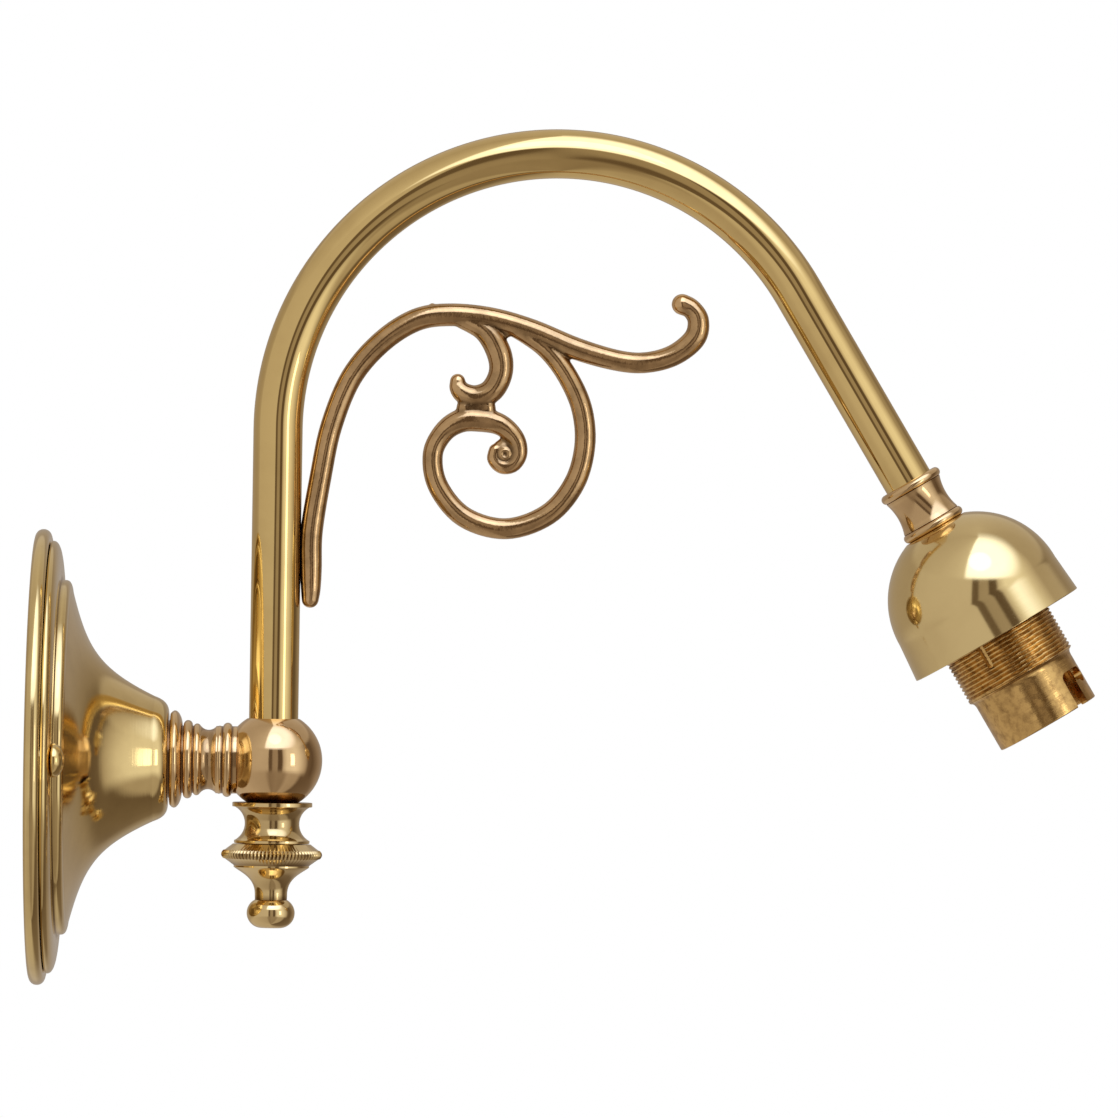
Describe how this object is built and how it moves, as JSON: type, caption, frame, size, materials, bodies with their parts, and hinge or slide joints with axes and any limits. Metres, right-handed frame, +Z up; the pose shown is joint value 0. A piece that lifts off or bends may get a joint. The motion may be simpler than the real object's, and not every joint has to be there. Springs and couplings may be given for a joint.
{
  "type": "lamp wall bracket",
  "caption": "Swan-neck wall bracket for a lamp, with a round rose, a ribbed neck and ball, a turned finial, a cast scroll and a bayonet lampholder under a domed cup.",
  "frame": {"origin": "middle of the rose's back face, on the wall", "axes": "+X leaves the wall towards the lamp, +Z is up along the wall, and the arm lies in the plane Y = 0"},
  "size_m": [0.2583, 0.111, 0.2103],
  "materials": {
    "yellow_brass": "polished and lacquered, with a soft spun sheen",
    "rose_brass": "polished, of a redder brass, with dark grooves",
    "cast_brass": "cast, bronzed and lacquered",
    "dull_brass": "turned, with a dull brown patina",
    "steel": "zinc plated",
    "nylon": "moulded, natural",
    "moulding": "moulded thermoset, off-white",
    "rubber": "moulded, matte"
  },
  "bodies": {
    "bracket": {"back_plate": "yellow_brass", "cable_bush": "rubber", "terminal_block": "nylon", "terminal_tubes": "yellow_brass", "terminal_screws": "steel", "block_screws": "steel", "earth_screw": "yellow_brass", "earth_washer": "steel", "rose_cover": "yellow_brass", "cover_screws": "yellow_brass", "neck": "rose_brass", "neck_nipple": "yellow_brass", "neck_washer": "steel", "neck_nut": "steel", "ball_elbow": "rose_brass", "arm_nipple": "yellow_brass", "finial_spool": "yellow_brass", "finial": "yellow_brass", "swan_neck": "yellow_brass", "scroll": "cast_brass", "tube_collar": "rose_brass", "lamp_nipple": "yellow_brass", "cup_cover": "yellow_brass", "holder_cap": "dull_brass", "cap_grub_screw": "steel", "cap_earth_screw": "yellow_brass", "holder_barrel": "dull_brass", "contact_block": "moulding", "contact_tubes": "yellow_brass", "contact_screws": "steel", "spring_front": "steel", "spring_rear": "steel"},
    "plunger_front": {"plunger_front": "yellow_brass"},
    "plunger_rear": {"plunger_rear": "yellow_brass"}
  },
  "joints": [
    {"name": "plunger_front_slide", "type": "slide", "parent": "bracket", "child": "plunger_front", "axis": [-0.515, 0, 0.8572], "range_m": [0, 0.0035], "stiffness_N_per_m": 1500, "springref_m": -0.004, "deforming": ["spring_front"]},
    {"name": "plunger_rear_slide", "type": "slide", "parent": "bracket", "child": "plunger_rear", "axis": [-0.515, 0, 0.8572], "range_m": [0, 0.0035], "stiffness_N_per_m": 1500, "springref_m": -0.004, "deforming": ["spring_rear"]}
  ]
}
